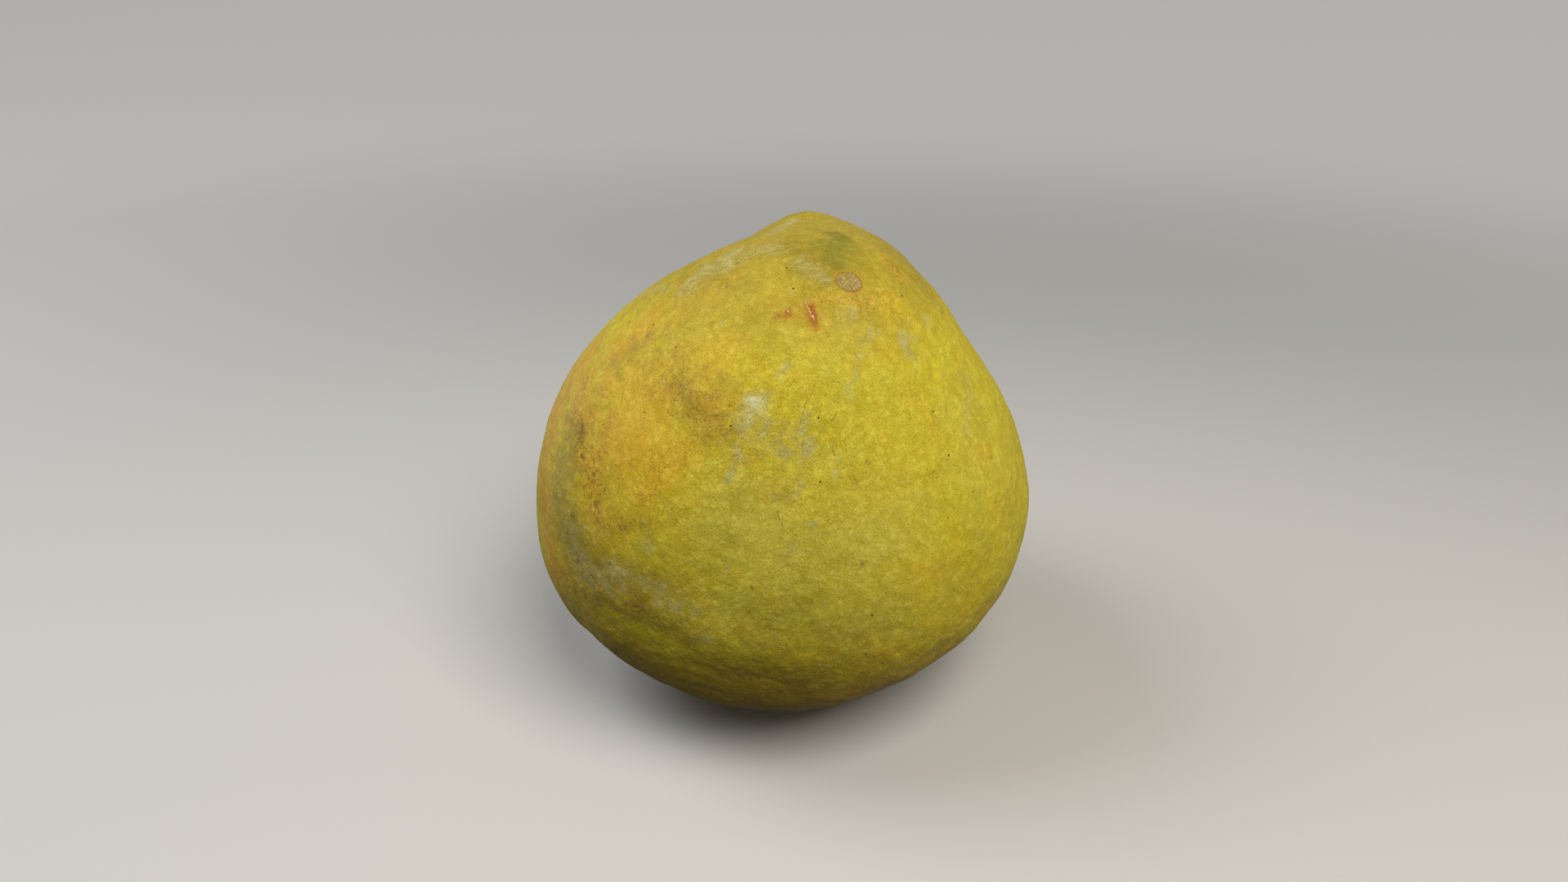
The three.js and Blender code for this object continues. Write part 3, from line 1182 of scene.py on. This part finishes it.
# %% [markdown]
# ### Gloss and pitting
#
# Fruit wax has an index of refraction a little over 1.4, and reflects weakly because it is
# patchy. It is duller over scuffs and the scar, and its powdery bloom, which is sheen, pales
# the rind where it turns away. The dimples over the glands, the pebbles and the grain are too
# small for the mesh, so they are bump: heights in millimetres, as on the real rind, where a
# gland's dimple is a few hundredths deep.

# %% Surface of the rind
WAX_IOR = 1.42
WAX_LEVEL = 0.2
BLOOM = 0.08
BLOOM_ROUGHNESS = 0.35
WAX_ROUGHNESS = 0.55
CORK_ROUGHNESS = 0.80
GLAND_DEPTH = 0.05
GRAIN_HEIGHT = 0.05
PEBBLE_HEIGHT = 0.22

dull = add("Math", [masks["scuff"], scar_face], operation="MAXIMUM")
roughness = add("MapRange", [dull, 0.0, 0.8, WAX_ROUGHNESS, CORK_ROUGHNESS])
pit = add("MapRange", [gland, 0.45, 0.05, 0.0, -GLAND_DEPTH], **SMOOTH)
grained = add("Math", [grain, GRAIN_HEIGHT, pit], operation="MULTIPLY_ADD")
pebbled = add("Math", [pebble_tone, PEBBLE_HEIGHT, grained], operation="MULTIPLY_ADD")
bump = add("Bump", {"Height": pebbled, "Distance": MM, "Strength": 1.0})

surface = tree.nodes["Principled BSDF"].inputs
surface["IOR"].default_value = WAX_IOR
surface["Specular IOR Level"].default_value = WAX_LEVEL
surface["Sheen Weight"].default_value = BLOOM
surface["Sheen Roughness"].default_value = BLOOM_ROUGHNESS
surface["Sheen Tint"].default_value = linear("#F4EEE4")
for name, socket in {"Base Color": colour, "Roughness": roughness, "Normal": bump}.items():
    tree.links.new(socket, surface[name])
fruit_mesh.materials.append(rind)
print(len(tree.nodes), "nodes in the rind")

# %% [markdown]
# ## The floor
#
# A flat sheet would show its edge and a horizon. A studio uses a sweep, paper that curves up
# behind the subject. This one curves up all round, so that it looks the same from any side:
# a profile of a flat disc, a quarter circle and a wall, spun about the vertical. The floor
# is kept out of bounced light and reflections, as black cards laid round the fruit would keep
# it: the underside then falls into shade and the body reads as round.

# %% Floor sweep
# millimetres, from the middle out
FLAT_RADII = [150, 400]
FLAT_RADIUS = 900.0
SWEEP_RADIUS = 700.0
SWEEP_STEPS = 13
WALL_TOP = 2600.0
TURNS = 96


def sweep_mesh():
    """Profile points, distance from the axis and height, carried round a circle. The middle is
    one point, joined by triangles, and the rest are quads that face inwards and up."""
    lean = np.linspace(0, math.pi / 2, SWEEP_STEPS)
    rim = FLAT_RADIUS + SWEEP_RADIUS
    out = np.concatenate([FLAT_RADII, FLAT_RADIUS + SWEEP_RADIUS * np.sin(lean), [rim]])
    high = np.concatenate([[0, 0], SWEEP_RADIUS * (1 - np.cos(lean)), [WALL_TOP]])
    angle = np.linspace(0, 2 * math.pi, TURNS, endpoint=False)
    ring = np.stack([np.cos(angle), np.sin(angle)], axis=-1)
    level = np.broadcast_to(high[:, None, None], (len(out), TURNS, 1))
    rings = np.concatenate([out[:, None, None] * ring, level], axis=-1)
    number = 1 + np.arange(len(out) * TURNS).reshape(len(out), TURNS)
    after = np.roll(number, -1, axis=1)
    sides = np.stack([number[:-1], number[1:], after[1:], after[:-1]], axis=-1).reshape(-1, 4)
    middle = np.stack([np.zeros(TURNS, int), number[0], after[0]], axis=-1)
    mesh = bpy.data.meshes.new("floor")
    corners = np.concatenate([[[0, 0, 0]], rings.reshape(-1, 3)]) * MM
    mesh.from_pydata(corners.tolist(), [], middle.tolist() + sides.tolist())
    mesh.shade_smooth()
    return mesh


floor = bpy.data.objects.new("floor", sweep_mesh())
floor.visible_diffuse = False
floor.visible_glossy = False
bpy.context.collection.objects.link(floor)
print(len(floor.data.polygons), "faces in the floor")

# %% [markdown]
# The paper is matt, so it only needs a pale colour and a high roughness. The lamps reach only
# its middle, so it glows a little further out, as if lamps of its own lit it there.

# %% Paper
GLOW_RADII = (300.0, 1150.0)
GLOW = 0.30
PAPER_ROUGHNESS = 0.9

paper = bpy.data.materials.new("matt studio paper")
paper.use_nodes = True
tree = paper.node_tree
paper_surface = tree.nodes["Principled BSDF"].inputs
paper_surface["Base Color"].default_value = linear("#DCDAD5")
paper_surface["Roughness"].default_value = PAPER_ROUGHNESS
paper_surface["Emission Color"].default_value = linear("#F2F1EE")
paper_reach = add("VectorMath", [add("TexCoord", {}, "Object")], "Value", operation="LENGTH")
near_glow, far_glow = [radius * MM for radius in GLOW_RADII]
glow = add("MapRange", [paper_reach, near_glow, far_glow, 0.0, GLOW], **SMOOTH)
tree.links.new(glow, paper_surface["Emission Strength"])
paper.cycles.emission_sampling = "NONE"
floor.data.materials.append(paper)
print(f"the paper glows from {GLOW_RADII[0]:.0f} mm out, fully at {GLOW_RADII[1]:.0f} mm")

# %% [markdown]
# ## Light
#
# Five soft lamps stand round the fruit. The strongest is high, a little to the right of the
# camera, and models the form. One fills from the left, high too, so that the underside stays
# dark. Three low ones light the right, the left edge and the back, which the camera only sees
# when it is carried round. The low ones would streak the paper, so they are flagged off it:
# their light is linked to all but the floor. The back one is weak and leaves no gloss, or it
# would draw a white rim along the top.

# %% Lamps
LAMP_REACH = 0.95
LAMP_SIZE = 0.55
WARM_WHITE = "#FFFBF2"
COOL_WHITE = "#F8F9FF"


def lamp(name, azimuth, elevation, watts, colour):
    """A square area lamp at some angles from the fruit, turned to face it."""
    data = bpy.data.lights.new(name, "AREA")
    data.size = LAMP_SIZE
    data.energy = watts
    data.color = linear(colour)[:3]
    lamp_object = bpy.data.objects.new(name, data)
    back = toward(azimuth, elevation)
    spot = back * LAMP_REACH + BODY_CENTRE * MM
    side = np.cross((0, 0, 1), back)
    side /= np.linalg.norm(side)
    turned = np.stack([side, np.cross(back, side), back], axis=1)
    lamp_object.matrix_world = Matrix.LocRotScale(spot, Matrix(turned), None)
    lamp_object.visible_camera = False
    bpy.context.collection.objects.link(lamp_object)
    return lamp_object


lamp("key", 30, 53, 6.7, WARM_WHITE)
lamp("left fill", -92, 50, 4.0, COOL_WHITE)
right_fill = lamp("right fill", 90, 6, 2.1, COOL_WHITE)
left_edge = lamp("left edge", -118, 3, 1.5, COOL_WHITE)
back_fill = lamp("back fill", 180, 4, 1.6, COOL_WHITE)
back_fill.visible_glossy = False

flagged = bpy.data.collections.new("flagged off")
flagged.objects.link(floor)
flagged.collection_objects[0].light_linking.link_state = "EXCLUDE"
for low_lamp in (right_fill, left_edge, back_fill):
    low_lamp.light_linking.receiver_collection = flagged
print(len(bpy.data.lights), "lamps,", round(sum(light.energy for light in bpy.data.lights), 1), "W")

# %% [markdown]
# A faint sky over the open sweep lifts the deep shade, and colours are shown as they are,
# without a film curve.

# %% Sky
SKY_STRENGTH = 0.075

sky = bpy.data.worlds.new("studio")
sky.use_nodes = True
background = sky.node_tree.nodes["Background"].inputs
background["Color"].default_value = linear("#E8ECF0")
background["Strength"].default_value = SKY_STRENGTH
bpy.context.scene.world = sky
bpy.context.scene.view_settings.view_transform = "Standard"
print("view transform:", bpy.context.scene.view_settings.view_transform)
